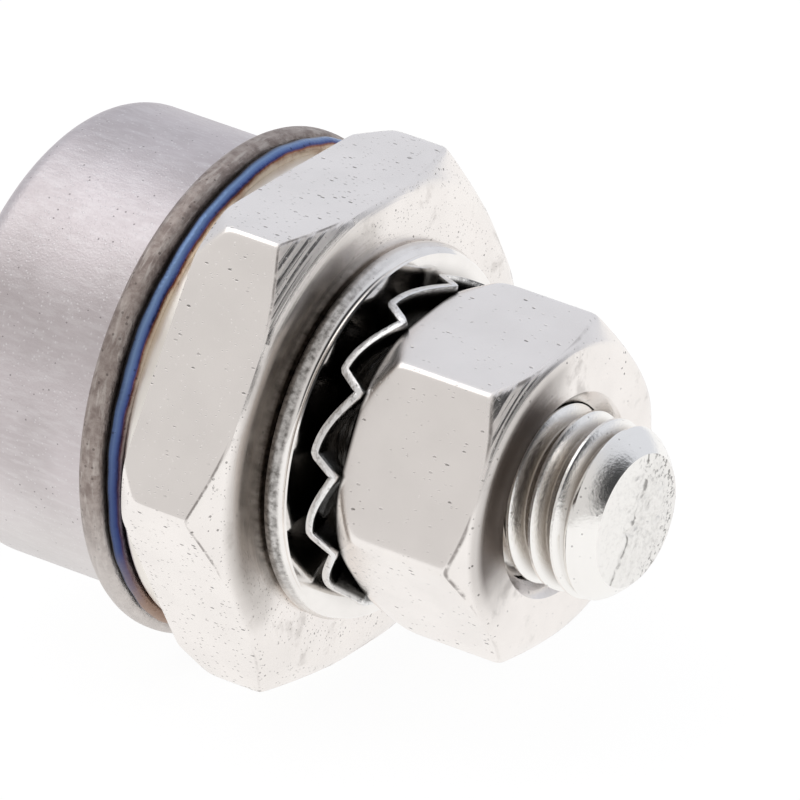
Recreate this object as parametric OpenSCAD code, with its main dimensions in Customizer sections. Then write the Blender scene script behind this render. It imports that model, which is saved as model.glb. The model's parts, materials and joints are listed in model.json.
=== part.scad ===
// Stud rectifier diode lying on its side, on the weld flange and one flat of the hexagon base.
// The axis runs along X with the threaded stud to +X and the solder lug to -X.
// The flange is wider than the flats, so the stud end dips a little.
// The origin is on the floor, halfway between the tip of the stud and the end of the lug.

/* [Hexagon base] */

// Width across the flats of the hexagon base
base_af = 17.46; // [14:0.05:20]

// Thickness of the hexagon base
base_thickness = 4.1; // [3:0.1:6]

// Angle of the turned chamfers on the hexagon corners
chamfer_angle = 36; // [25:1:40]

// Radius of the chamfer circle as a share of half the width across flats
chamfer_share = 1.04; // [1:0.01:1.08]

/* [Stud] */

// Outside diameter of the stud thread
stud_diameter = 6.35; // [5.5:0.05:7]

// Length of the stud from the seating face
stud_length = 11.1; // [10.7:0.1:14]

// Length of the tapered lead at the tip of the stud
stud_lead = 1.2; // [0.6:0.1:1.6]

// Diameter of the end face of the stud
stud_tip_diameter = 4.9; // [4:0.1:5.4]

// Running gap between the stud and the nut at the middle of the thread, on the radius
thread_clearance = 0.03; // [0.01:0.01:0.08]

/* [Washers and nut] */

// Outside diameter of the flat washer
washer_diameter = 13.7; // [12:0.1:15]

// Thickness of the flat washer
washer_thickness = 0.9; // [0.7:0.1:1.4]

// Hole diameter of the flat washer
washer_hole = 6.9; // [6.7:0.1:7.4]

// Outside diameter of the toothed lock washer
lock_diameter = 11.9; // [10.5:0.1:12]

// Overall height of the lock washer teeth
lock_height = 1.5; // [1.2:0.1:1.7]

// Sheet thickness of the lock washer
lock_sheet = 0.5; // [0.4:0.05:0.6]

// Number of teeth on the lock washer
lock_teeth = 12; // [10:1:14]

// Width across the flats of the nut
nut_af = 11.11; // [10:0.05:13]

// Thickness of the nut
nut_thickness = 5.56; // [4.5:0.1:6]

// Turn of the nut about the axis, away from the base hexagon
nut_turn = 7; // [0:1:30]

/* [Cap] */

// Diameter of the weld flange of the cap
flange_diameter = 18.4; // [17.6:0.1:18.8]

// Thickness of the weld flange
flange_thickness = 1; // [0.8:0.05:1.2]

// Outside diameter of the can
can_diameter = 16.5; // [14:0.1:16.8]

// Length of the can behind the flange
can_length = 6.8; // [6:0.1:8]

// Wall of the can
can_wall = 0.8; // [0.5:0.05:1]

// Radius of the rounded shoulder of the can
can_shoulder = 1.1; // [1:0.1:1.5]

// Diameter of the hole in the can that holds the glass
eyelet_diameter = 8.4; // [7.6:0.1:9]

/* [Terminal] */

// Outside diameter of the terminal tube
tube_diameter = 4; // [3.4:0.1:4.2]

// Width of the flattened solder lug
lug_width = 6.6; // [6:0.1:7]

// Thickness of the flattened solder lug
lug_thickness = 1.6; // [1.2:0.1:2]

// Diameter of the hole in the solder lug
lug_hole = 4.1; // [3.6:0.05:4.4]

// Distance from the seating face to the far end of the lug
lug_reach = 24.6; // [24:0.1:25.4]

/* [Hidden] */

$fn = 96;
eps = 0.01;

half_af = base_af / 2;
base_corner = base_af / sqrt(3);
base_chamfer_radius = half_af * chamfer_share;
base_chamfer_depth = (base_corner - base_chamfer_radius) * tan(chamfer_angle);

// Turned shoulder that carries the weld, behind the hexagon
shoulder_radius = half_af - 0.1;
shoulder_length = 0.5;
weld_length = 0.6;
weld_radius = half_af;
weld_bore = weld_radius - 2.1;
weld_round = 0.3;
flange_front = base_thickness + shoulder_length + weld_length;
flange_back = flange_front + flange_thickness;
flange_round = flange_thickness * 0.42;
can_end = flange_back + can_length;
can_bore = can_diameter / 2 - can_wall;

// Lean of the axis when the flange and the front edge of the lower flat both touch the floor
rim_run = flange_front + flange_round;
rim_drop = flange_diameter / 2 - flange_round - half_af;
rim_span = sqrt(rim_run * rim_run + rim_drop * rim_drop);
lean = max(0, atan2(rim_drop, rim_run) + asin(flange_round / rim_span));
axis_height = half_af * cos(lean);

// Place of the seating face along X, with the whole diode centred over the origin
stud_end = stud_length * cos(lean) + stud_tip_diameter / 2 * sin(lean);
lug_end = lug_reach * cos(lean) + lug_thickness / 2 * sin(lean);
seat = (lug_end - stud_end) / 2;

// Pedestal inside the cap and the stack that stands on it
pedestal_radius = 4.6;
pedestal_top = base_thickness + 0.9;
solder_layer = 0.1;
plate_layer = 0.5;
die_layer = 0.3;
plate_radius = 4.1;
die_radius = 3.8;
upper_plate_radius = 2.5;
lower_plate_at = pedestal_top + solder_layer;
die_at = lower_plate_at + plate_layer;
upper_solder_at = die_at + die_layer;
upper_plate_at = upper_solder_at + solder_layer;
lead_at = upper_plate_at + plate_layer;
lead_radius = 0.9;
lead_head_radius = 1.9;
lead_head_length = 0.6;
coat_radius = plate_radius;

// Glass and terminal
eyelet_lip = 0.5;
glass_front = can_end - can_wall - eyelet_lip;
glass_back = can_end - 0.15;
tube_radius = tube_diameter / 2;
tube_bore = lead_radius;
tube_start = glass_front - 0.5;
tube_end = can_end + 2.2;
flat_start = tube_end + 2.4;
lug_round = lug_width / 2;
lug_centre = lug_reach - lug_round;

// Stack of fasteners on the stud
lock_at = washer_thickness;
nut_at = lock_at + lock_height;
nut_end = nut_at + nut_thickness;
nut_corner = nut_af / sqrt(3);
nut_chamfer_radius = nut_af / 2 * chamfer_share;
nut_chamfer_depth = (nut_corner - nut_chamfer_radius) * tan(chamfer_angle);
nut_countersink = 0.45;
stud_radius = stud_diameter / 2;
thread_depth = stud_diameter * 0.085;
stud_core = stud_radius - thread_depth / 2;
nut_bore = stud_core + thread_clearance;
nut_mouth = stud_radius + 0.3;
washer_edge = 0.25;
lock_bore = washer_hole / 2 + 0.1;
lock_rim = lock_diameter / 2;
tooth_angle = 360 / lock_teeth;
tooth_pitch = 2 * PI * lock_rim / lock_teeth;
tooth_tilt = atan((lock_height - lock_sheet) / (tooth_pitch * 0.72));
tooth_run = tooth_pitch * 1.12;
tooth_root = lock_bore + 0.75;

// Stands a shape that was drawn along Z on the axis of the diode, with Z turned to +X
module on_axis() {
    translate([seat, 0, axis_height])
        rotate([0, 90 + lean, 0])
            children();
}

// Stands a shape that was drawn along Z on the axis, with Z turned to -X
module behind_seat() {
    translate([seat, 0, axis_height])
        rotate([0, lean - 90, 0])
            children();
}

// Hexagon prism with both rims turned to a chamfer
module turned_hexagon(corner, height, rim, depth) {
    intersection() {
        rotate([0, 0, 30])
            cylinder(r = corner, h = height, $fn = 6);
        rotate_extrude()
            polygon([
                [0, 0],
                [rim, 0],
                [corner + eps, depth + eps * tan(chamfer_angle)],
                [corner + eps, height - depth - eps * tan(chamfer_angle)],
                [rim, height],
                [0, height]
            ]);
    }
}

// Solid disc from one distance to another
module disc(radius, from, to) {
    translate([0, 0, from])
        cylinder(r = radius, h = to - from);
}

// Ring from one distance to another
module ring(radius, bore, from, to) {
    difference() {
        disc(radius, from, to);
        disc(bore, from - 1, to + 1);
    }
}

module stud_base() {
    color("#b9b4b0") {
        behind_seat() {
            turned_hexagon(base_corner, base_thickness, base_chamfer_radius, base_chamfer_depth);
            disc(shoulder_radius, base_thickness - eps, base_thickness + shoulder_length);
            disc(pedestal_radius, base_thickness - eps, pedestal_top);
        }
        on_axis() {
            disc(stud_core, -eps, nut_end);
            disc(stud_radius, nut_end, stud_length - stud_lead);
            translate([0, 0, stud_length - stud_lead])
                cylinder(r1 = stud_radius, r2 = stud_tip_diameter / 2, h = stud_lead);
        }
    }
}

module weld_ring() {
    color("#6d83a8")
        behind_seat()
            rotate_extrude()
                translate([0, flange_front - weld_length])
                    union() {
                        translate([weld_bore, 0])
                            square([weld_radius - weld_round - weld_bore, weld_length]);
                        translate([weld_radius - weld_round, weld_length / 2])
                            circle(r = weld_round);
                    }
}

module cap() {
    color("#a79f9f")
        behind_seat()
            difference() {
                union() {
                    rotate_extrude() {
                        translate([0, flange_front])
                            square([flange_diameter / 2 - flange_round, flange_thickness]);
                        translate([0, flange_front + flange_round])
                            square([flange_diameter / 2, flange_thickness - 2 * flange_round]);
                        translate([flange_diameter / 2 - flange_round, flange_front + flange_round])
                            circle(r = flange_round);
                        translate([flange_diameter / 2 - flange_round, flange_back - flange_round])
                            circle(r = flange_round);
                        translate([0, flange_back - eps])
                            square([can_diameter / 2, can_length - can_shoulder + eps]);
                        translate([0, flange_back])
                            square([can_diameter / 2 - can_shoulder, can_length]);
                        translate([can_diameter / 2 - can_shoulder, can_end - can_shoulder])
                            circle(r = can_shoulder);
                    }
                }
                difference() {
                    disc(can_bore, flange_front - 1, can_end - can_wall);
                    ring(eyelet_diameter / 2 + can_wall, eyelet_diameter / 2, glass_front, can_end);
                }
                disc(eyelet_diameter / 2, can_end - can_wall - 1, can_end + 1);
            }
}

module glass_seal() {
    color("#5c6a63")
        behind_seat()
            ring(eyelet_diameter / 2, tube_radius, glass_front, glass_back);
}

module terminal() {
    color("#b3aca6")
        behind_seat()
            difference() {
                union() {
                    disc(tube_radius, tube_start, tube_end);
                    hull() {
                        disc(tube_radius, tube_end - eps, tube_end);
                        translate([-lug_thickness / 2, -lug_width / 2, flat_start])
                            cube([lug_thickness, lug_width, eps]);
                    }
                    translate([-lug_thickness / 2, -lug_width / 2, flat_start])
                        cube([lug_thickness, lug_width, lug_centre - flat_start]);
                    translate([-lug_thickness / 2, 0, lug_centre])
                        rotate([0, 90, 0])
                            cylinder(r = lug_round, h = lug_thickness);
                }
                disc(tube_bore, tube_start - 1, tube_end);
                translate([-lug_thickness, 0, lug_centre])
                    rotate([0, 90, 0])
                        cylinder(d = lug_hole, h = 2 * lug_thickness);
            }
}

module inner_lead() {
    color("#b87850")
        behind_seat() {
            disc(lead_head_radius, lead_at, lead_at + lead_head_length);
            disc(lead_radius, lead_at + lead_head_length - eps, tube_end);
        }
}

module upper_plate() {
    color("#8d8f94")
        behind_seat()
            disc(upper_plate_radius, upper_plate_at, lead_at);
}

module upper_solder() {
    color("#c9c9cc")
        behind_seat()
            disc(upper_plate_radius, upper_solder_at, upper_plate_at);
}

module silicon_die() {
    color("#454a55")
        behind_seat()
            disc(die_radius, die_at, upper_solder_at);
}

module lower_plate() {
    color("#8d8f94")
        behind_seat()
            disc(plate_radius, lower_plate_at, die_at);
}

module lower_solder() {
    color("#c9c9cc")
        behind_seat()
            disc(plate_radius, pedestal_top, lower_plate_at);
}

module junction_coat() {
    color("#e4ddd0")
        behind_seat()
            ring(coat_radius, die_radius, die_at, upper_solder_at);
}

module flat_washer() {
    color("#bdb8b3")
        on_axis()
            rotate_extrude() {
                translate([washer_hole / 2, 0])
                    square([washer_diameter / 2 - washer_edge - washer_hole / 2, washer_thickness]);
                translate([washer_hole / 2, washer_edge])
                    square([(washer_diameter - washer_hole) / 2, washer_thickness - 2 * washer_edge]);
                translate([washer_diameter / 2 - washer_edge, washer_edge])
                    circle(r = washer_edge);
                translate([washer_diameter / 2 - washer_edge, washer_thickness - washer_edge])
                    circle(r = washer_edge);
            }
}

module lock_washer() {
    color("#c6c2bd")
        on_axis() {
            ring(tooth_root, lock_bore, lock_at + (lock_height - lock_sheet) / 2,
                lock_at + (lock_height + lock_sheet) / 2);
            intersection() {
                ring(lock_rim, tooth_root - 0.3, lock_at, nut_at);
                for (i = [0 : lock_teeth - 1])
                    rotate([0, 0, i * tooth_angle])
                        translate([0, 0, lock_at + lock_height / 2])
                            rotate([-tooth_tilt, 0, 0])
                                translate([tooth_root - 0.6, -tooth_run / 2, -lock_sheet / 2])
                                    cube([lock_rim - tooth_root + 1.2, tooth_run, lock_sheet]);
            }
        }
}

module hex_nut() {
    color("#bbb6b2")
        on_axis()
            translate([0, 0, nut_at])
                difference() {
                    rotate([0, 0, nut_turn])
                        turned_hexagon(nut_corner, nut_thickness, nut_chamfer_radius, nut_chamfer_depth);
                    disc(nut_bore, -1, nut_thickness + 1);
                    translate([0, 0, -eps])
                        cylinder(r1 = nut_mouth, r2 = nut_bore, h = nut_countersink + eps);
                    translate([0, 0, nut_thickness - nut_countersink])
                        cylinder(r1 = nut_bore, r2 = nut_mouth, h = nut_countersink + eps);
                }
}

stud_base();
weld_ring();
cap();
glass_seal();
terminal();
inner_lead();
upper_plate();
upper_solder();
silicon_die();
lower_plate();
lower_solder();
junction_coat();
flat_washer();
lock_washer();
hex_nut();
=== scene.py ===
"""Stud diode lying on a white table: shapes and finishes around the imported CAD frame.

Pieces are modelled on a bench, in millimetres, with the axis of the diode along +X and the
seating face of the hexagon at x = 0. place() then moves each one to its spot in the frame.
"""

import json
import math

import bpy
from mathutils import Matrix, Vector, noise


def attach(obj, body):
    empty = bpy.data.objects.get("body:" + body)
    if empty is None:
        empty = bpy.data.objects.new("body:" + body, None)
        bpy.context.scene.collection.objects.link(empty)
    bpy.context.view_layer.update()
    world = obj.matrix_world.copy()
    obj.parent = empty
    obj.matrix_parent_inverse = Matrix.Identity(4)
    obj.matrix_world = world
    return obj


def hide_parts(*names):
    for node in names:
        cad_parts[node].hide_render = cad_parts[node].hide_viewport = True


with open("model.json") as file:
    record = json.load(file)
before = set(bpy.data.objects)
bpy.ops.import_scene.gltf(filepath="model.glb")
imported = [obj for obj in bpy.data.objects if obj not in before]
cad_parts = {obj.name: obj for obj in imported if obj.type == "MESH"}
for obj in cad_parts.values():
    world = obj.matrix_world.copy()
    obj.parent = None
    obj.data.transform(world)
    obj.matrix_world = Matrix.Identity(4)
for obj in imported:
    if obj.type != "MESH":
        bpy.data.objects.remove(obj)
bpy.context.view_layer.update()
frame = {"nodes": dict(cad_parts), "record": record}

MM = 0.001
TURN = 2 * math.pi
MOUNTS = {m["name"]: m for m in frame["record"]["mounts"]}

# The bench's place in the frame, from the stud's axis and the back of the flat washer
AXIS = Vector(MOUNTS["stud_end"]["axis"])
STUD_POINT = Vector(MOUNTS["stud_end"]["pos_m"])
SEAT_POINT = STUD_POINT + AXIS * min(
    (v.co - STUD_POINT).dot(AXIS) for v in frame["nodes"]["flat_washer"].data.vertices)
LEAN = math.atan2(-AXIS.z, AXIS.x)
BENCH = Matrix.Translation(SEAT_POINT) @ Matrix.Rotation(LEAN, 4, "Y") @ Matrix.Scale(MM, 4)


def span(node, until=100):
    """(first x, last x, largest radius) of a CAD node on the bench, up to a place along the axis."""
    back = BENCH.inverted()
    at = [back @ v.co for v in frame["nodes"][node].data.vertices]
    at = [p for p in at if p.x < until]
    xs = [p.x for p in at]
    return min(xs), max(xs), max(math.hypot(p.y, p.z) for p in at)


# Sizes read from the frame
STUD_TIP = span("stud_base")[1]
BASE_CORNER = span("stud_base")[2]
BASE_AF = BASE_CORNER * math.sqrt(3)
WELD_BACK, WELD_FRONT, WELD_RADIUS = span("weld_ring")
CAP_BACK, FLANGE_FRONT, FLANGE_RADIUS = span("cap")
WASHER_FRONT, WASHER_RADIUS = span("flat_washer")[1:]
LOCK_RADIUS = span("lock_washer")[2]
NUT_BACK, NUT_FRONT, NUT_CORNER = span("hex_nut")
NUT_AF = NUT_CORNER * math.sqrt(3)
GLASS_BACK, GLASS_FRONT, GLASS_RADIUS = span("glass_seal")
LUG_END = span("terminal")[0]
THREAD_RADIUS = MOUNTS["stud_end"]["dims"]["r_mm"]
LUG_HOLE = MOUNTS["lug_hole"]["dims"]["r_mm"]
LUG_THICKNESS = MOUNTS["lug_hole"]["dims"]["length_mm"]

# Sizes and counts chosen here, from the photograph where it shows them
SHOULDER_LENGTH = 0.62
BASE_BACK = WELD_FRONT + SHOULDER_LENGTH
BASE_RIM = BASE_AF / 2 * 1.01
NUT_RIM = NUT_AF / 2 * 0.98
CHAMFER_SLOPE = math.tan(math.radians(36))
BASE_BACK_RIM = BASE_AF / 2 * 1.09
NUT_BACK_RIM = NUT_AF / 2 * 1.04
BACK_SLOPE = math.tan(math.radians(58))
BASE_DISH, NUT_DISH = 0.7, 0.35  # width of the soft rim round each turned face
RIM_BACK, RIM_OUT = 0.3, 0.12  # where the chamfer starts, as shares of that width
BLANK_SPARE = 0.35  # how far a blank stands out past the corners
FACE_CORE = 3.3  # plain middle of the base's face, under the washer
NUT_TURN = 7
NUT_CORNER_ROUND, NUT_EDGE_ROUND = 0.14, 0.18
NUT_COUNTERSINK = 0.5
NUT_BORE = THREAD_RADIUS + 0.06
SHOULDER_RADIUS = BASE_AF / 2 - 0.1
SHOULDER_ROUND = 0.12
SHOULDER_OVERLAP = 0.4
SHOULDER_BORE = 6
WELD_BORE = 6.8
BEAD_RADIUS = 0.34
BEAD_LIFT = 0.12
BEAD_THINNING = 0.45
THIN_LEVEL, THIN_RISE = 0.35, 0.8  # the bead thins towards its underside
FLANGE_THICKNESS = 1.0
FLANGE_BACK = FLANGE_FRONT - FLANGE_THICKNESS
FLANGE_ROUND = FLANGE_THICKNESS * 0.42
FLANGE_BORE = 7
FLANGE_FILLET = 0.3
CAN_RADIUS = span("cap", CAP_BACK + 3)[2]
CAN_SHOULDER = 1.1
CAN_WALL = 0.8
THREAD_PITCH = 25.4 / 28
THREAD_DEPTH = 0.54
THREAD_STEPS = 96
CREST, ROOT = THREAD_RADIUS, THREAD_RADIUS - THREAD_DEPTH
TIP_RADIUS = 2.42
TIP_DOME = 0.16
TIP_RINGS = 34
LEAD_LENGTH = 1.15
LEAD_START = STUD_TIP - LEAD_LENGTH
RUNOUT_LENGTH = 1.5
RUNOUT_FADE = 0.6
LOCK_TEETH = 12
TOOTH_STEPS = 30
LOCK_RINGS = 9
LOCK_SHEET = 0.3
LOCK_FALL = 0.82
LOCK_SWING = 0.45
LOCK_PHASE = 0.37
LOCK_BORE = 3.55
WASHER_BORE = 3.45
TUBE_RADIUS = 2.0
TUBE_LENGTH = 2.2
FLATTEN_LENGTH = 2.4
FLATTEN_STEPS = 10
LUG_HALF_WIDTH = 3.3
LUG_STEPS = 64
LUG_END_STEPS, LUG_END_TURN = 12, 87  # the rounded end stops just short of a point
ROUND_STEPS = 160
HEX_STEPS = 600
BUMP_HEIGHT = 0.05


def clamp(value, low=0, high=1):
    """Keeps a value between two limits."""
    return min(high, max(low, value))


def ease(t):
    """Goes smoothly from 0 to 1."""
    return t * t * (3 - 2 * t)


def deselect():
    """Leaves edit mode and selects nothing."""
    if bpy.context.object and bpy.context.object.mode != "OBJECT":
        bpy.ops.object.mode_set(mode="OBJECT")
    bpy.ops.object.select_all(action="DESELECT")


def edit(obj):
    """Opens a piece in edit mode with all of it selected."""
    deselect()
    obj.select_set(True)
    bpy.context.view_layer.objects.active = obj
    bpy.ops.object.mode_set(mode="EDIT")
    bpy.ops.mesh.select_all(action="SELECT")


def arc(x, r, radius, start, end, count=8):
    """Points of an arc in the profile plane, with angles in degrees from +X towards the rim."""
    turns = [math.radians(start + (end - start) * i / count) for i in range(count + 1)]
    return [(x + radius * math.cos(t), r + radius * math.sin(t)) for t in turns]


def chain(name, points):
    """A row of edges drawn by extruding one vertex from point to point."""
    deselect()
    bpy.ops.mesh.primitive_plane_add(size=1, location=(0, 0, 0))
    obj = bpy.context.object
    obj.name = name
    bpy.ops.object.mode_set(mode="EDIT")
    bpy.ops.mesh.select_all(action="SELECT")
    bpy.ops.mesh.merge(type="CENTER")
    bpy.ops.transform.translate(value=(points[0][0], 0, points[0][1]))
    for (xa, ra), (xb, rb) in zip(points, points[1:]):
        bpy.ops.mesh.extrude_region_move(TRANSFORM_OT_translate={"value": (xb - xa, 0, rb - ra)})
    return obj


def clean():
    """Merges doubles and turns the faces of the piece in edit mode outwards."""
    bpy.ops.mesh.select_all(action="SELECT")
    bpy.ops.mesh.remove_doubles(threshold=1e-4)
    bpy.ops.mesh.normals_make_consistent(inside=False)


def lathe(name, profile, steps=ROUND_STEPS):
    """Turns a profile of (x, radius) points round the axis."""
    obj = chain(name, profile)
    bpy.ops.mesh.select_all(action="SELECT")
    bpy.ops.mesh.spin(steps=steps, angle=TURN, center=(0, 0, 0), axis=(1, 0, 0))
    clean()
    bpy.ops.object.mode_set(mode="OBJECT")
    return obj


def cut(obj, point, normal):
    """Cuts off what lies beyond a plane and closes the cut."""
    edit(obj)
    bpy.ops.mesh.bisect(plane_co=point, plane_no=normal, use_fill=True, clear_outer=True, threshold=1e-5)
    bpy.ops.object.mode_set(mode="OBJECT")


def press_flats(obj, across, turn=0, corner=0.1, edge=0.12):
    """Presses six flats into a turned blank. corner and edge say how soft the edges come out."""
    half = across / 2
    for v in obj.data.vertices:
        radius = math.hypot(v.co.y, v.co.z)
        if radius < half * 0.8:
            continue
        t = math.atan2(v.co.z, v.co.y)
        reach = sorted(math.cos(t - math.radians(30 + 60 * i + turn)) for i in range(6))
        a, b = reach[-1] * half, reach[-2] * half
        flat = half * half / ((a + b + math.hypot(a - b, corner)) / 2)
        pressed = (radius + flat - math.hypot(radius - flat, edge)) / 2
        v.co.yz = v.co.yz * (pressed / radius)


def finish(obj, kind, **settings):
    """Adds a modifier with these settings and applies it."""
    deselect()
    obj.select_set(True)
    bpy.context.view_layer.objects.active = obj
    mod = obj.modifiers.new(kind, kind)
    for key, value in settings.items():
        setattr(mod, key, value)
    bpy.ops.object.modifier_apply(modifier=mod.name)


def soften(obj, width, segments, angle):
    """Rounds every edge that is sharper than the angle."""
    finish(obj, "BEVEL", width=width, segments=segments, limit_method="ANGLE",
           angle_limit=math.radians(angle), use_clamp_overlap=True)


def place(obj, replaced=None, sharp=35, weighted=False):
    """Moves a finished piece from the bench to the frame, hangs it on the root body and hides the CAD part it
    stands in for.
    """
    deselect()
    obj.select_set(True)
    bpy.context.view_layer.objects.active = obj
    obj.matrix_world = BENCH
    bpy.ops.object.transform_apply(location=True, rotation=True, scale=True)
    bpy.ops.object.shade_smooth_by_angle(angle=math.radians(sharp))
    if weighted:
        finish(obj, "WEIGHTED_NORMAL", mode="FACE_AREA", weight=80, keep_sharp=True)
    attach(obj, "root")
    if replaced:
        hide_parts(replaced)
    return obj


def line_points(start, end, count):
    """Points on a straight line of the profile, without its start."""
    return [(start[0] + (end[0] - start[0]) * i / count, start[1] + (end[1] - start[1]) * i / count)
            for i in range(1, count + 1)]


def chamfered_blank(front, back, corner, rim, back_rim, dish):
    """Profile of a hexagon blank: a turned face, a soft rim and a chamfer at each end."""
    outer = corner + BLANK_SPARE
    front_drop = (outer - rim) * CHAMFER_SLOPE
    back_drop = (outer - back_rim) * BACK_SLOPE
    points = [(front, rim - dish), (front - dish * 0.09, rim - dish * 0.35),
              (front - dish * RIM_BACK, rim + dish * RIM_OUT)]
    ends = ((front - front_drop, outer), 18), ((back + back_drop, outer), 10), ((back, back_rim), 14)
    for end, count in ends:
        points += line_points(points[-1], end, count)
    return points


# Hexagon base, with its turned shoulder
blank = chamfered_blank(0, BASE_BACK, BASE_CORNER, BASE_RIM, BASE_BACK_RIM, BASE_DISH)
face_line = line_points((0, FACE_CORE), blank[0], 6)[:-1]
hex_base = lathe("hex_base", [(0, 0), (0, FACE_CORE), *face_line, *blank, (BASE_BACK, 0)], HEX_STEPS)
press_flats(hex_base, BASE_AF)

shoulder_front = BASE_BACK + SHOULDER_OVERLAP
weld_shoulder = lathe("weld_shoulder", [
    (shoulder_front, SHOULDER_BORE), (shoulder_front, SHOULDER_RADIUS),
    *arc(WELD_FRONT + SHOULDER_ROUND, SHOULDER_RADIUS - SHOULDER_ROUND, SHOULDER_ROUND, 90, 180, 5),
    (WELD_FRONT, SHOULDER_BORE), (shoulder_front, SHOULDER_BORE)])

# Stud: one pitch of the thread profile, screwed along the axis, then tapered to the lead
quarter = THREAD_PITCH / 4
ridge = [(quarter * 0.3, ROOT), (quarter * 0.55, ROOT + 0.05), (quarter * 1.6, CREST - 0.06),
         (quarter * 1.78, CREST), (quarter * 2.22, CREST), (quarter * 2.4, CREST - 0.06),
         (quarter * 3.45, ROOT + 0.05), (quarter * 3.7, ROOT), (THREAD_PITCH, ROOT)]
thread_start = -THREAD_PITCH - 0.2
thread_line = [(thread_start, ROOT)]
for x, r in ridge:
    thread_line += line_points(thread_line[-1], (thread_start + x, r), 2)
stud_thread = chain("stud_thread", thread_line)
bpy.ops.object.mode_set(mode="OBJECT")
finish(stud_thread, "SCREW", axis="X", angle=TURN, screw_offset=THREAD_PITCH,
       steps=THREAD_STEPS, render_steps=THREAD_STEPS,
       iterations=math.ceil((STUD_TIP - thread_start) / THREAD_PITCH) + 1, use_merge_vertices=True,
       merge_threshold=1e-4, use_normal_calculate=True)
edit(stud_thread)
clean()
cut(stud_thread, (STUD_TIP - TIP_DOME, 0, 0), (1, 0, 0))
cut(stud_thread, (-0.3, 0, 0), (-1, 0, 0))
for v in stud_thread.data.vertices:
    radius = math.hypot(v.co.y, v.co.z)
    along = max(0, v.co.x - LEAD_START) / (LEAD_LENGTH - TIP_DOME)
    fade = clamp((v.co.x - STUD_TIP + RUNOUT_LENGTH) / RUNOUT_FADE)
    outer = CREST + (TIP_RADIUS - CREST) * along ** 1.6
    v.co.yz = v.co.yz * ((outer - (CREST - radius) * (1 - ease(fade))) / radius)

# End of the stud: a lightly domed face, left rough by the cut-off
tip_rings = [(STUD_TIP - TIP_DOME * (i / TIP_RINGS) ** 3, TIP_RADIUS * i / TIP_RINGS)
             for i in range(TIP_RINGS + 1)]
tip_back = STUD_TIP - TIP_DOME - 0.4
stud_tip = lathe("stud_tip", [*tip_rings, (tip_back, TIP_RADIUS + 0.1), (tip_back, 0)], 128)
for v in stud_tip.data.vertices:
    if v.co.x > STUD_TIP - TIP_DOME - 0.05:
        dent = noise.fractal(Vector((0, v.co.y * 2.0 + 3, v.co.z * 2.6)), 0.7, 2.0, 5)
        inside = 1 - min(1, math.hypot(v.co.y, v.co.z) / TIP_RADIUS) ** 6
        v.co.x -= (0.03 + 0.07 * clamp(dent, -0.4, 1.0)) * inside

# Flat washer
flat_washer = lathe("flat_washer_disc", [
    (0.02, WASHER_BORE + 0.1), (0.02, WASHER_RADIUS - 0.2), *arc(0.2, WASHER_RADIUS - 0.16, 0.14, 180, 90, 4),
    (0.36, WASHER_RADIUS - 0.01), (0.44, WASHER_RADIUS - 0.05),
    *arc(0.46, WASHER_RADIUS - 0.42, 0.34, 78, 20, 6),
    (WASHER_FRONT - 0.05, WASHER_RADIUS - 0.2), (WASHER_FRONT, WASHER_RADIUS - 0.26),
    *arc(WASHER_FRONT - 0.12, WASHER_BORE + 0.12, 0.12, 0, -90, 4),
    (0.12, WASHER_BORE), (0.02, WASHER_BORE + 0.1)])

# Lock washer: a flat ring drawn out to a rim that rises and falls as a sawtooth
deselect()
bpy.ops.mesh.primitive_circle_add(
    vertices=LOCK_TEETH * TOOTH_STEPS, radius=LOCK_BORE, rotation=(0, math.pi / 2, 0))
lock_washer = bpy.context.object
lock_washer.name = "lock_washer_teeth"
bpy.ops.object.transform_apply(location=True, rotation=True, scale=True)
edit(lock_washer)
rings = [LOCK_BORE + (LOCK_RADIUS - LOCK_BORE) * i / LOCK_RINGS for i in range(LOCK_RINGS + 1)]
for inner, outer in zip(rings, rings[1:]):
    bpy.ops.mesh.extrude_region_move(TRANSFORM_OT_translate={"value": (0, 0, 0)})
    bpy.ops.transform.resize(value=(1, outer / inner, outer / inner))
clean()
bpy.ops.object.mode_set(mode="OBJECT")
ring_at, rim_at = WASHER_FRONT + LOCK_SHEET / 2, NUT_BACK - LOCK_SHEET / 2 - LOCK_SWING
for v in lock_washer.data.vertices:
    radius = math.hypot(v.co.y, v.co.z)
    phase = (math.atan2(v.co.z, v.co.y) / TURN * LOCK_TEETH + LOCK_PHASE) % 1
    fall = phase / LOCK_FALL
    if fall < 1:
        wave = 1 - 2 * math.sin(fall * math.pi / 2) ** 1.15
    else:
        wave = 2 * (phase - LOCK_FALL) / (1 - LOCK_FALL) - 1
    reach = clamp((radius - LOCK_BORE - 0.5) / 1.4)
    v.co.x = ring_at + (rim_at - ring_at + LOCK_SWING * wave) * ease(reach)
finish(lock_washer, "SOLIDIFY", thickness=LOCK_SHEET * 0.96, offset=0, use_even_offset=False)
soften(lock_washer, 0.06, 2, 50)

# Nut
blank = chamfered_blank(NUT_FRONT, NUT_BACK, NUT_CORNER, NUT_RIM, NUT_BACK_RIM, NUT_DISH)
mouth = NUT_BORE + NUT_COUNTERSINK
hex_nut = lathe("hex_nut_body", [
    (NUT_FRONT, mouth), *blank, (NUT_BACK, mouth), (NUT_BACK + NUT_COUNTERSINK, NUT_BORE),
    (NUT_FRONT - NUT_COUNTERSINK, NUT_BORE), (NUT_FRONT, mouth)], HEX_STEPS)
press_flats(hex_nut, NUT_AF, NUT_TURN, NUT_CORNER_ROUND, NUT_EDGE_ROUND)

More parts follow.
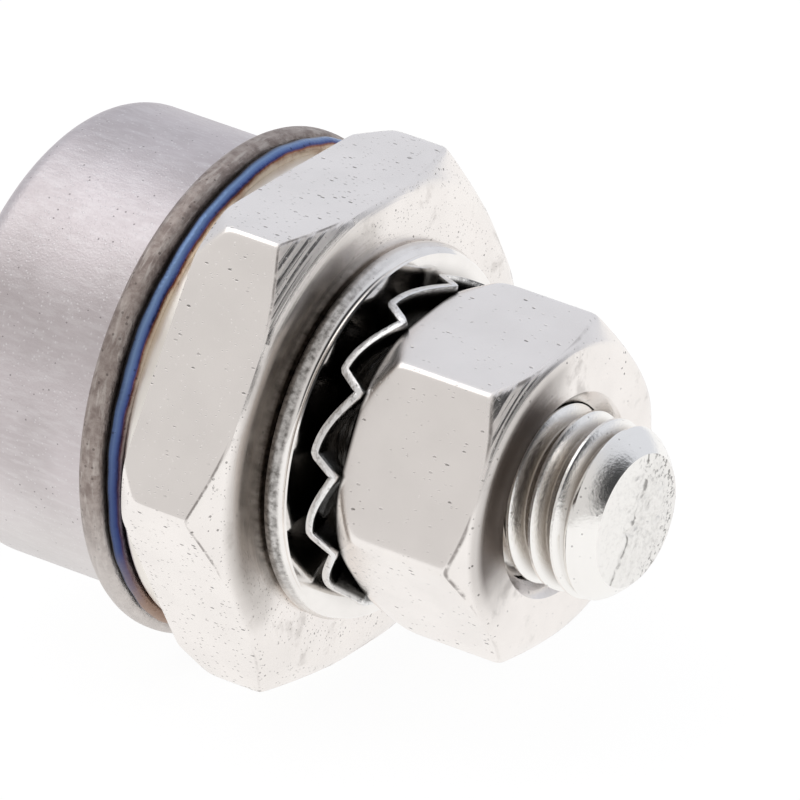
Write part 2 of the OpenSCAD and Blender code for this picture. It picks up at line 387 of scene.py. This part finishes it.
# Weld bead, squeezed out a little unevenly
bead_front = WELD_BACK + 2 * BEAD_RADIUS
weld_bead = lathe("weld_bead", [
    (bead_front, WELD_BORE),
    *arc(WELD_BACK + BEAD_RADIUS, WELD_RADIUS - BEAD_RADIUS * 0.35, BEAD_RADIUS, 0, 180, 14),
    (WELD_BACK, WELD_BORE), (bead_front, WELD_BORE)])
for v in weld_bead.data.vertices:
    t = math.atan2(v.co.z, v.co.y)
    radius = math.hypot(v.co.y, v.co.z)
    swell = 0.03 * math.sin(5 * t + 1) + 0.025 * math.sin(13 * t) + 0.015 * math.sin(37 * t + 2)
    thin = clamp(THIN_LEVEL - THIN_RISE * v.co.z / radius)
    v.co.x = WELD_BACK + (v.co.x - WELD_BACK) * (1 - BEAD_THINNING * thin)
    if radius > WELD_RADIUS - 0.6:
        v.co.yz = v.co.yz * (1 + swell / radius)
        v.co.z += BEAD_LIFT

# Cap: flange, can and the rolled edge round the glass
flange_rim = FLANGE_RADIUS - FLANGE_ROUND
cap_shell = lathe("cap_shell", [
    (FLANGE_FRONT, FLANGE_BORE), (FLANGE_FRONT, FLANGE_RADIUS - 0.62),
    *arc(FLANGE_FRONT - FLANGE_ROUND, flange_rim, FLANGE_ROUND, 0, 90),
    *arc(FLANGE_BACK + FLANGE_ROUND, flange_rim, FLANGE_ROUND, 90, 180),
    *arc(FLANGE_BACK - FLANGE_FILLET, CAN_RADIUS + FLANGE_FILLET, FLANGE_FILLET, 0, -90, 5)[1:],
    *arc(CAP_BACK + CAN_SHOULDER, CAN_RADIUS - CAN_SHOULDER, CAN_SHOULDER, 90, 180, 10),
    *arc(CAP_BACK + 0.2, GLASS_RADIUS + 0.2, 0.2, 180, 270, 4),
    (GLASS_FRONT, GLASS_RADIUS), (GLASS_FRONT, GLASS_RADIUS + CAN_WALL),
    (CAP_BACK + CAN_WALL, GLASS_RADIUS + CAN_WALL), (CAP_BACK + CAN_WALL, CAN_RADIUS - CAN_WALL),
    (FLANGE_FRONT, CAN_RADIUS - CAN_WALL), (FLANGE_FRONT, FLANGE_BORE)])

# Glass seal with a meniscus at the can and at the tube
glass_seal = lathe("glass_bead", [
    (GLASS_FRONT, TUBE_RADIUS - 0.02), (GLASS_FRONT, GLASS_RADIUS), (GLASS_BACK + 0.05, GLASS_RADIUS),
    (GLASS_BACK + 0.25, GLASS_RADIUS - 0.3), (GLASS_BACK + 0.32, (GLASS_RADIUS + TUBE_RADIUS) / 2),
    (GLASS_BACK + 0.25, TUBE_RADIUS + 0.45), (GLASS_BACK + 0.02, TUBE_RADIUS + 0.08),
    (GLASS_BACK, TUBE_RADIUS - 0.02), (GLASS_FRONT, TUBE_RADIUS - 0.02)])

# Terminal: a tube drawn out, pressed flat and rounded at its end, with a hole
tube_back = CAP_BACK - TUBE_LENGTH
flat_at = tube_back - FLATTEN_LENGTH
round_at = LUG_END + LUG_HALF_WIDTH
press_start = tube_back + 0.3
sections = [(GLASS_FRONT + 0.5, TUBE_RADIUS, TUBE_RADIUS), (press_start, TUBE_RADIUS, TUBE_RADIUS)]
for i in range(1, FLATTEN_STEPS + 1):
    t = i / FLATTEN_STEPS
    sections.append((press_start + (flat_at - press_start) * t,
                     TUBE_RADIUS + (LUG_HALF_WIDTH - TUBE_RADIUS) * ease(t),
                     TUBE_RADIUS + (LUG_THICKNESS / 2 - TUBE_RADIUS) * ease(t)))
for i in range(LUG_END_STEPS + 1):
    t = math.radians(LUG_END_TURN * i / LUG_END_STEPS)
    sections.append((round_at - LUG_HALF_WIDTH * math.sin(t),
                     LUG_HALF_WIDTH * math.cos(t), LUG_THICKNESS / 2))
deselect()
bpy.ops.mesh.primitive_circle_add(
    vertices=LUG_STEPS, radius=TUBE_RADIUS, fill_type="NGON", rotation=(0, math.pi / 2, 0),
    location=(sections[0][0], 0, 0))
terminal = bpy.context.object
terminal.name = "terminal_lug"
bpy.ops.object.transform_apply(location=True, rotation=True, scale=True)
edit(terminal)
for (xa, wa, ha), (xb, wb, hb) in zip(sections, sections[1:]):
    bpy.ops.mesh.extrude_region_move(TRANSFORM_OT_translate={"value": (xb - xa, 0, 0)})
    bpy.ops.transform.resize(value=(1, wb / wa, hb / ha))
clean()
bpy.ops.object.mode_set(mode="OBJECT")
for v in terminal.data.vertices:
    flat = clamp((tube_back - v.co.x) / FLATTEN_LENGTH)
    if flat:
        pressed = math.copysign(min(abs(v.co.z) * 2.2, LUG_THICKNESS / 2), v.co.z)
        v.co.z = (1 - flat) * v.co.z + flat * pressed
deselect()
bpy.ops.mesh.primitive_cylinder_add(
    vertices=LUG_STEPS, radius=LUG_HOLE, depth=LUG_THICKNESS * 2.5, location=(round_at, 0, 0))
punch = bpy.context.object
finish(terminal, "BOOLEAN", object=punch, operation="DIFFERENCE", solver="EXACT")
bpy.data.objects.remove(punch)
soften(terminal, 0.12, 3, 50)


class Wire:
    """A shader socket that arithmetic can be written on."""

    def __init__(self, tree, socket):
        self.tree, self.socket = tree, socket

    def math(self, operation, *values):
        """A maths node on these values. The wire only says which tree it goes in."""
        node = self.tree.nodes.new("ShaderNodeMath")
        node.operation = operation
        for slot, value in zip(node.inputs, values):
            join(self.tree, value, slot)
        return Wire(self.tree, node.outputs[0])

    def __add__(self, other):
        return self.math("ADD", self, other)

    def __radd__(self, other):
        return self.math("ADD", other, self)

    def __sub__(self, other):
        return self.math("SUBTRACT", self, other)

    def __rsub__(self, other):
        return self.math("SUBTRACT", other, self)

    def __mul__(self, other):
        return self.math("MULTIPLY", self, other)

    def __rmul__(self, other):
        return self.math("MULTIPLY", other, self)

    def __truediv__(self, other):
        return self.math("DIVIDE", self, other)

    def __pow__(self, other):
        return self.math("POWER", self, other)

    def between(self, low, high):
        """0 below low, 1 above high and smooth in between."""
        return add_node(self.tree, "ShaderNodeMapRange", {"interpolation_type": "SMOOTHSTEP"},
                        {"Value": self, "From Min": low, "From Max": high})


def join(tree, value, slot):
    """Links a wire to a socket, or sets the socket's own value."""
    if isinstance(value, Wire):
        tree.links.new(value.socket, slot)
    else:
        slot.default_value = value


def add_node(tree, kind, settings=None, inputs=None, output=0):
    """Adds any node: its settings first, then its sockets' values or links."""
    node = tree.nodes.new(kind)
    for key, value in (settings or {}).items():
        if key == "stops":
            ramp = node.color_ramp
            while len(ramp.elements) < len(value):
                ramp.elements.new(0.5)
            for element, (place_at, colour) in zip(ramp.elements, value):
                element.position, element.color = place_at, (*colour, 1)
        else:
            setattr(node, key, value)
    for key, value in (inputs or {}).items():
        if isinstance(value, tuple) and len(value) == 3 and node.inputs[key].type == "RGBA":
            value = (*value, 1)
        join(tree, value, node.inputs[key])
    return Wire(tree, node.outputs[output]) if node.outputs else None


class Finish:
    """One procedural material, with coordinates on the bench in millimetres."""

    def __init__(self, name):
        self.material = bpy.data.materials.new(name)
        self.material.use_nodes = True
        self.tree = self.material.node_tree
        self.tree.nodes.clear()
        own = self.node("ShaderNodeTexCoord", output=3)
        self.at = self.node("ShaderNodeMapping", {"vector_type": "TEXTURE"}, {
            "Vector": own, "Location": tuple(SEAT_POINT), "Rotation": (0, LEAN, 0), "Scale": (MM, MM, MM)})
        self.x, self.y, self.z = (
            self.node("ShaderNodeSeparateXYZ", None, {"Vector": self.at}, i) for i in range(3))
        self.radius = (self.y * self.y + self.z * self.z) ** 0.5
        self.turn = self.x.math("ARCTAN2", self.z, self.y)

    def node(self, kind, settings=None, inputs=None, output=0):
        return add_node(self.tree, kind, settings, inputs, output)

    def noise(self, scale, detail=3, rough=0.5, at=None):
        """Cloudy noise about 0.5, with this many features to the millimetre."""
        return self.node("ShaderNodeTexNoise", None,
                         {"Vector": at or self.at, "Scale": scale, "Detail": detail, "Roughness": rough})

    def spots(self, scale, size, share, at=None):
        """Sparse round spots: 1 in a spot. share is how many of the cells hold one."""
        cell = {"Vector": at or self.at, "Scale": scale, "Randomness": 1.0}
        distance = self.node("ShaderNodeTexVoronoi", None, cell)
        colour = self.node("ShaderNodeTexVoronoi", None, cell, 1)
        pick = self.node("ShaderNodeSeparateColor", None, {"Color": colour})
        return (1 - distance.between(size * 0.6, size)) * pick.math("LESS_THAN", pick, share)

    def mix(self, share, a, b):
        """Colour a, with this share of colour b."""
        return self.node("ShaderNodeMix", {"data_type": "RGBA"}, {0: share, 6: a, 7: b}, 2)

    def rings_at(self, lines, turns):
        """Coordinates for lines that run round the axis."""
        return self.node("ShaderNodeCombineXYZ", None, {
            "X": self.x * lines, "Y": self.radius * lines, "Z": self.turn * turns})

    def surface(self, colour, roughness, height, strength, metallic=1.0):
        """Ends the material with a surface. height is a bump in units of BUMP_HEIGHT."""
        bump = self.node("ShaderNodeBump", None, {
            "Height": height, "Strength": strength, "Distance": BUMP_HEIGHT * MM})
        shader = self.node("ShaderNodeBsdfPrincipled", None, {
            "Base Color": colour, "Roughness": roughness, "Metallic": metallic, "Normal": bump})
        self.node("ShaderNodeOutputMaterial", None, {"Surface": shader})
        return self.material


def plated(name, tone, dark, rough, pits, grain=0.0):
    """Plain metal with clouding and small dark pits."""
    m = Finish(name)
    cloud = m.noise(0.5, 4)
    fine = m.noise(9, 2)
    pit = m.spots(3.2, 0.2, pits) * m.noise(0.7, 3).between(0.35, 0.65)
    speck = m.spots(7.5, 0.26, pits * 0.7)
    spark = m.spots(4.3, 0.16, 0.18)
    colour = m.mix(cloud.between(0.3, 0.75), tone, tuple(c * 0.93 for c in tone))
    colour = m.mix(pit * 0.8 + speck * 0.45, m.mix(spark * 0.6, colour, (0.95, 0.94, 0.93)), dark)
    height = fine * (0.04 + grain) - pit * 0.9 - speck * 0.5 + cloud * 0.4
    return m.surface(colour, rough + cloud * 0.1 + fine * (0.04 + grain * 0.2), height, 0.4)


def hexagon_finish(name, front, thickness, corner, rim, dish, tone, reflection_and_tarnish_tone, pits):
    """Nickel plate on a turned hexagon: pitted flats, scored chamfers, tarnish with painted dark reflection
    on the face's upper left, and painted shade lines where the chamfer meets the flats and at the back end.
    """
    m = Finish(name)
    cloud = m.noise(0.5, 4)
    grit = m.noise(5, 4, 0.65)
    drawn = m.node("ShaderNodeVectorMath", {"operation": "MULTIPLY"}, {0: m.at, 1: (0.6, 1.2, 1.2)})
    pit = m.spots(3.2, 0.2, pits, drawn) * m.noise(0.7, 3).between(0.35, 0.65)
    speck = m.spots(7.5, 0.26, pits * 0.8, drawn)
    rings = m.noise(1, 3, 0.6, m.rings_at(9, 0.6))
    low = (0 - m.z / m.radius).between(0.0, 0.7)
    side = (m.z * 0.45 - m.y * 0.9) / m.radius
    face = m.x.between(front - 0.22, front - 0.05)
    past_chamfer = (front - m.x) / CHAMFER_SLOPE + rim - m.radius
    chamfer = (1 - past_chamfer.between(0.1, 0.4)) * (1 - face)
    # Painted shade: a thin dark line where the cone of the chamfer meets the flats, mostly on the upper left
    spare = corner + BLANK_SPARE - rim
    cone_front, cone_rim = front - dish * RIM_BACK, rim + dish * RIM_OUT
    cone_rise = (spare - dish * RIM_OUT) / (spare * CHAMFER_SLOPE - dish * RIM_BACK)
    under_cone = (cone_front - m.x) * cone_rise + cone_rim - m.radius
    behind_face = 1 - m.x.between(cone_front - 0.2, cone_front - 0.08)
    edge_shade_line = under_cone.between(0.04, 0.08) * (1 - under_cone.between(0.1, 0.18)) * behind_face
    edge_shade_line = edge_shade_line * m.noise(1.4, 4, 0.6).between(0.36, 0.56) * (0.12 + side.between(0.1, 0.6) * 0.88)
    scored = chamfer * ((m.z * 0.82 - m.y * 0.57) / m.radius).between(0.84, 0.95)
    # Painted dark reflection, with some tarnish, on the face's upper left; weaker near the rim
    inner = 1 - m.radius.between(rim * 0.9, rim * 0.99) * 0.65
    tarnish_and_dark_reflection = (side + (m.noise(0.35, 4) - 0.5) * 0.4).between(0.35, 0.85) * inner
    streak = rings.between(0.46, 0.55) * scored
    stain = m.noise(0.6, 5, 0.6).between(0.55, 0.7)
    colour = m.mix(cloud.between(0.3, 0.75), tone, tuple(c * 0.95 for c in tone))
    # The face takes the painted dark reflection and tarnish tone, and faint stains elsewhere
    colour = m.mix(face * (tarnish_and_dark_reflection * 0.95 + (1 - tarnish_and_dark_reflection) * stain * 0.3), colour, reflection_and_tarnish_tone)
    colour = m.mix(pit * 0.8 + speck * (0.3 + low * 0.3), colour, (0.14, 0.13, 0.12))
    # Painted shade line along the chamfer's edge
    colour = m.mix(edge_shade_line * 0.7, colour, (0.12, 0.10, 0.09))
    # Painted shade at the back end, where the hexagon meets the part behind it
    back_shade = 1 - m.x.between(front - thickness - 0.02, front - thickness + 0.15)
    colour = m.mix(back_shade, colour, (0.12, 0.11, 0.10))
    height = grit * (0.1 + low * 0.25) - pit * 0.9 - speck * 0.5 + cloud * 0.4
    height = height + rings * (face * 0.35 + scored)
    return m.surface(colour, 0.14 + cloud * 0.1 + grit * 0.1 + streak * 0.45, height, 0.4)


def thread_finish():
    """Bright metal on the crests over painted shade in the grooves, and a plain bright lead."""
    m = Finish("thread_silver")
    grit = m.noise(6, 4, 0.65)
    on_crest = m.radius.between(ROOT + 0.05, CREST - 0.08)
    bright = 1 - (1 - on_crest) * (1 - m.x.between(LEAD_START, LEAD_START + 0.5))
    # Painted shade in the grooves: darker colour below the crests
    colour = m.mix(bright, (0.40, 0.36, 0.32), (0.94, 0.92, 0.89))
    colour = m.mix(m.spots(4, 0.2, 0.3) * 0.5, colour, (0.2, 0.19, 0.18))
    return m.surface(colour, 0.13 + grit * 0.12, grit, 0.25)


def tip_finish():
    """The cut-off end of the stud: torn and bright, smoother on one side."""
    m = Finish("stud_end_rough")
    torn = m.noise(2.4, 6, 0.72)
    smooth = (m.z * 0.5 - m.y + (m.noise(0.8, 3) - 0.5) * 1.6).between(0.0, 1.2)
    edge = (m.y / m.radius * 0.8 + 0.2).between(0.0, 0.7) * m.radius.between(1.2, 2.2)
    flaws = m.noise(5, 5, 0.7).between(0.52, 0.6) * (0.1 + edge * 0.9)
    ragged = smooth.between(0.34, 0.44) * (1 - smooth.between(0.5, 0.6)) * m.noise(1.6, 3).between(0.4, 0.55)
    colour = m.mix(flaws * 0.85 + ragged * 0.7, (0.93, 0.91, 0.88), (0.15, 0.14, 0.13))
    return m.surface(colour, 0.22 + torn * 0.16, torn * (1 - smooth * 0.6) + smooth * 0.6, 1.0)


def washer_finish():
    """Bright faces and a rough sheared rim; painted shade on the rim's upper left and on the face round the
    lock washer.
    """
    m = Finish("washer_bright")
    cloud = m.noise(0.6, 4)
    rough_rim = m.radius.between(WASHER_RADIUS - 0.45, WASHER_RADIUS - 0.25) * (1 - m.x.between(0.55, 0.68))
    mottle = m.noise(4.5, 4, 0.6)
    side = ((m.z * 0.35 - m.y * 0.95) / m.radius).between(0.3, 0.85)
    low = (0 - m.z / m.radius).between(0.2, 0.7)
    shaded = (1 - m.radius.between(LOCK_RADIUS - 0.5, LOCK_RADIUS + 0.45)) * (1 - low * 0.6)
    # Painted shade: mottled on the rim's upper left, and on the face round the lock washer
    shade = rough_rim * (mottle.between(0.3, 0.75) * (0.08 + side * 0.55) + side * 0.35) + shaded * 0.72
    colour = m.mix(cloud.between(0.35, 0.7), (0.92, 0.89, 0.86), (0.86, 0.83, 0.80))
    colour = m.mix(shade, colour, (0.13, 0.12, 0.11))
    colour = m.mix(m.spots(5, 0.18, 0.2) * 0.5, colour, (0.25, 0.23, 0.21))
    height = mottle * rough_rim * 0.6 + cloud * 0.3
    return m.surface(colour, 0.07 + cloud * 0.08 + rough_rim * 0.18, height, 0.5)


def lock_finish():
    """Bright tooth edges, with painted shade on the sheet in the gap behind them."""
    m = Finish("lock_washer_edge")
    grit = m.noise(5, 4, 0.65)
    edge = m.radius.between(LOCK_RADIUS - 0.22, LOCK_RADIUS - 0.06)
    # Painted shade: the sheet inside the tooth edges is dark, for the gap behind the teeth
    colour = m.mix(edge, (0.10, 0.096, 0.09), (0.86, 0.85, 0.84))
    colour = m.mix(grit.between(0.55, 0.7) * edge * 0.6, colour, (0.3, 0.29, 0.28))
    return m.surface(colour, 0.16 + grit * 0.16, grit, 0.4)


def turned(name, tone, dark, rough, lines):
    """A lathe-turned surface: rings about the axis, with clouding and a few specks."""
    m = Finish(name)
    rings = m.noise(1, 3, 0.6, m.rings_at(lines, 0.6))
    cloud = m.noise(0.45, 4)
    colour = m.mix(cloud.between(0.35, 0.7), tone, dark)
    colour = m.mix(m.spots(2.6, 0.15, 0.3) * 0.55, colour, tuple(c * 0.35 for c in dark))
    return m.surface(colour, rough + rings * 0.12, rings + cloud * 0.3, 0.2)


def can_finish():
    """Dull plate on the can and a rough, browned rim on the flange, both with a painted floor reflection that
    lightens their undersides.
    """
    m = Finish("can_satin")
    cloud = m.noise(0.3, 4)
    grit = m.noise(11, 3, 0.6)
    spark = m.spots(6, 0.28, 0.6)
    dust = m.spots(3.4, 0.14, 0.4)
    brushed = m.noise(1, 3, 0.6, m.node("ShaderNodeCombineXYZ", None, {
        "X": m.x * 1.2, "Y": m.radius, "Z": m.turn * 40}))
    can = m.mix(cloud.between(0.35, 0.7), (0.655, 0.60, 0.61), (0.565, 0.515, 0.52))
    can = m.mix(brushed.between(0.4, 0.7) * 0.35, can, (0.78, 0.745, 0.75))
    low = 0 - m.z / m.radius
    # Painted reflection of the white floor: the can is lighter towards its underside
    can = m.mix(low.between(0.0, 0.7) * 0.65, can, (0.86, 0.83, 0.81))
    can = m.mix(dust * 0.6, m.mix(spark * 0.4, can, (0.86, 0.84, 0.84)), (0.16, 0.14, 0.14))
    rim = m.mix(m.noise(2.2, 5, 0.65).between(0.35, 0.68), (0.44, 0.38, 0.35), (0.27, 0.22, 0.20))
    scored = m.noise(1, 3, 0.6, m.rings_at(5, 9))
    rim = m.mix(scored.between(0.5, 0.7) * 0.5, rim, (0.66, 0.61, 0.57))
    rim = m.mix(m.spots(4, 0.25, 0.35) * 0.6, rim, (0.12, 0.10, 0.09))
    # Painted reflection of the floor: the flange rim is lighter towards its underside
    rim = m.mix(low.between(0.0, 0.6) * 0.7, rim, (0.82, 0.78, 0.75))
    on_rim = m.x.between(FLANGE_BACK - 0.35, FLANGE_BACK - 0.05)
    on_rim = on_rim * m.radius.between(CAN_RADIUS + 0.1, CAN_RADIUS + 0.4)
    colour = m.mix(on_rim, can, rim)
    rough = 0.36 + on_rim * 0.08 + grit * 0.16
    height = grit * 0.6 + spark * 0.25 - dust * 0.3 + (m.noise(4, 4, 0.7) + scored) * on_rim
    return m.surface(colour, rough, height, 0.5)


def weld_finish():
    """Heat colours across the bead, from soot by the flange to straw by the hexagon."""
    m = Finish("weld_heat_tint")
    fall = THIN_LEVEL - m.z * THIN_RISE / m.radius
    thin = fall.math("MINIMUM", 1.0, fall.math("MAXIMUM", 0.0, fall))
    along = (m.x - WELD_BACK) / (2 * BEAD_RADIUS) / (1 - thin * BEAD_THINNING)
    along = along + (m.noise(1.1, 3) - 0.5) * 0.12
    tint = m.node("ShaderNodeValToRGB", {"stops": [
        (0.0, (0.015, 0.014, 0.014)), (0.3, (0.02, 0.022, 0.03)), (0.42, (0.08, 0.12, 0.22)),
        (0.6, (0.20, 0.30, 0.50)), (0.76, (0.12, 0.19, 0.40)), (0.88, (0.05, 0.06, 0.20)),
        (0.94, (0.30, 0.12, 0.06)), (1.0, (0.72, 0.62, 0.5))]}, {"Fac": along})
    fine = m.noise(7, 3, 0.6)
    height = m.z + (m.noise(0.6, 3) - 0.5) * 3
    tint = m.mix((1 - height.between(-1.0, 6.0)) * along.between(0.35, 0.5) * 0.75, tint, (0.03, 0.04, 0.13))
    tint = m.mix((1 - height.between(-7.0, -2.5)) * along.between(0.4, 0.6), tint, (0.36, 0.25, 0.19))
    colour = m.mix(m.spots(3, 0.18, 0.3) * 0.6, tint, (0.03, 0.03, 0.05))
    return m.surface(colour, 0.22 + fine * 0.18, fine + m.noise(2.2, 3) * 0.6, 0.45)


def glass_finish():
    """Dark fused glass with faint swirls and a few bubbles."""
    m = Finish("seal_glass_dark")
    swirl = m.noise(0.9, 4)
    colour = m.mix(swirl.between(0.35, 0.7), (0.10, 0.13, 0.12), (0.16, 0.19, 0.17))
    colour = m.mix(m.spots(4, 0.15, 0.3) * 0.4, colour, (0.4, 0.44, 0.42))
    return m.surface(colour, 0.08 + swirl * 0.06, m.noise(2), 0.1, 0.0)


def coat_finish():
    """Soft pale coat round the wafer."""
    m = Finish("junction_silicone")
    cloud = m.noise(1.5, 3)
    colour = m.mix(cloud.between(0.3, 0.7), (0.80, 0.77, 0.70), (0.70, 0.66, 0.58))
    return m.surface(colour, 0.5 + cloud * 0.1, cloud, 0.15, 0.0)


def assign(obj, material):
    """Gives a piece its material."""
    obj.data.materials.clear()
    obj.data.materials.append(material)


NICKEL = (0.93, 0.885, 0.85)
# The dark colour in each call is the tone of the painted dark reflection and tarnish on the face
base_metal = hexagon_finish("base_nickel", 0, -WELD_BACK, BASE_CORNER, BASE_RIM, BASE_DISH,
                            NICKEL, (0.22, 0.19, 0.165), 0.5)
nut_metal = hexagon_finish("nut_nickel", NUT_FRONT, NUT_FRONT - NUT_BACK, NUT_CORNER, NUT_RIM, NUT_DISH,
                           NICKEL, (0.10, 0.08, 0.07), 0.2)
shoulder_metal = turned("shoulder_cream", (0.95, 0.91, 0.85), (0.88, 0.83, 0.77), 0.28, 5)
tube_metal = plated("terminal_tin", (0.76, 0.74, 0.72), (0.35, 0.34, 0.33), 0.28, 0.3, 0.1)

assign(hex_base, base_metal)
assign(hex_nut, nut_metal)
assign(weld_shoulder, shoulder_metal)
assign(stud_thread, thread_finish())
assign(stud_tip, tip_finish())
assign(flat_washer, washer_finish())
assign(lock_washer, lock_finish())
assign(terminal, tube_metal)
assign(cap_shell, can_finish())
assign(weld_bead, weld_finish())
assign(glass_seal, glass_finish())

INNER = {
    "inner_lead": plated("lead_copper", (0.72, 0.42, 0.28), (0.3, 0.15, 0.1), 0.25, 0.2),
    "upper_plate": plated("plate_molybdenum", (0.52, 0.53, 0.55), (0.25, 0.25, 0.26), 0.3, 0.2),
    "upper_solder": plated("solder_dull", (0.68, 0.68, 0.69), (0.35, 0.35, 0.35), 0.35, 0.3),
    "silicon_die": plated("wafer_polished", (0.23, 0.25, 0.30), (0.1, 0.1, 0.12), 0.08, 0.05),
}
INNER["lower_plate"], INNER["lower_solder"] = INNER["upper_plate"], INNER["upper_solder"]
for node, material in INNER.items():
    assign(frame["nodes"][node], material)
assign(frame["nodes"]["junction_coat"], coat_finish())

place(hex_base, "stud_base", weighted=True)
place(weld_shoulder)
place(stud_thread, sharp=30)
place(stud_tip)
place(flat_washer, "flat_washer")
place(lock_washer, "lock_washer", sharp=40)
place(hex_nut, "hex_nut", weighted=True)
place(weld_bead, "weld_ring")
place(cap_shell, "cap")
place(glass_seal, "glass_seal")
place(terminal, "terminal", sharp=40)

# White table
deselect()
bpy.ops.mesh.primitive_plane_add(size=3, location=(0, 0, 0))
table = bpy.context.object
table.name = "white_table"
white = bpy.data.materials.new("table_white")
white.use_nodes = True
tree = white.node_tree
tree.nodes.clear()
rays = [add_node(tree, "ShaderNodeLightPath", output=i) for i in (0, 3, 6)]
seen = rays[0].math("MAXIMUM", rays[0].math("MAXIMUM", rays[0], rays[1]), rays[2])
paper = add_node(tree, "ShaderNodeBsdfDiffuse", None, {"Color": (0.9, 0.9, 0.9)})
glow = add_node(tree, "ShaderNodeEmission", None, {"Color": (1, 1, 1), "Strength": 1.06})
lit = add_node(tree, "ShaderNodeMixShader", None, {0: seen * 0.88, 1: paper, 2: glow})
add_node(tree, "ShaderNodeOutputMaterial", None, {"Surface": lit})
table.data.materials.append(white)

# Studio: a pale tent with one dark side, towards the stud
world = bpy.data.worlds.new("studio_tent")
bpy.context.scene.world = world
world.use_nodes = True
tree = world.node_tree
tree.nodes.clear()
way = add_node(tree, "ShaderNodeTexCoord", output=0)
wx, wy, wz = (add_node(tree, "ShaderNodeSeparateXYZ", None, {"Vector": way}, i) for i in range(3))
dark_side = (wx * 0.96 + wy * 0.155 + wz * 0.2).between(0.79, 0.91)
level = (0.72 + wy.between(0.0, 0.8) * 0.12) * (1 - dark_side * 0.93)
tone = add_node(tree, "ShaderNodeMix", {"data_type": "RGBA"}, {
    0: wy.between(-0.5, 0.5), 6: (1.0, 0.985, 0.98, 1), 7: (0.90, 0.93, 1.0, 1)}, 2)
sky = add_node(tree, "ShaderNodeBackground", None, {"Color": tone, "Strength": level})
add_node(tree, "ShaderNodeOutputWorld", None, {"Surface": sky})


def softbox(name, at, size, power):
    """A square lamp aimed at the diode."""
    deselect()
    bpy.ops.object.light_add(type="AREA", location=at)
    lamp = bpy.context.object
    lamp.name = name
    lamp.data.size = size
    lamp.data.energy = power
    lamp.rotation_mode = "QUATERNION"
    lamp.rotation_quaternion = (SEAT_POINT - Vector(at)).to_track_quat("-Z", "Y")


softbox("top_box", (-0.27, -0.03, 0.5), 0.42, 0.5)

# Camera, fitted to the photograph on the bench: direction, roll, aim and scale
VIEW_AZIMUTH, VIEW_ELEVATION, VIEW_ROLL = 33.7, 26.9, 2.7
VIEW_RIGHT, VIEW_UP = 0.86, 0.97
VIEW_DISTANCE = 500
PIXELS_PER_MM = 28.85
PHOTO_WIDTH = 800
a, e, r = (math.radians(v) for v in (VIEW_AZIMUTH, VIEW_ELEVATION, VIEW_ROLL))
back = Vector((math.sin(a) * math.cos(e), -math.cos(a) * math.cos(e), math.sin(e)))
level_right = Vector((math.cos(a), math.sin(a), 0))
level_up = back.cross(level_right)
right = level_right * math.cos(r) + level_up * math.sin(r)
up = level_up * math.cos(r) - level_right * math.sin(r)
eye = back * VIEW_DISTANCE + right * VIEW_RIGHT + up * VIEW_UP
camera_data = bpy.data.cameras.new("photo_camera")
camera = bpy.data.objects.new("photo_camera", camera_data)
bpy.context.scene.collection.objects.link(camera)
aim = Matrix((right, up, back)).transposed().to_4x4()
turned_frame = Matrix.Rotation(LEAN, 4, "Y")
camera.matrix_world = Matrix.Translation(BENCH @ eye) @ turned_frame @ aim
camera_data.sensor_width = 36
camera_data.lens = PIXELS_PER_MM * VIEW_DISTANCE / PHOTO_WIDTH * camera_data.sensor_width
camera_data.clip_start, camera_data.clip_end = 0.01, 10
bpy.context.scene.camera = camera
bpy.context.scene.view_settings.view_transform = "Standard"
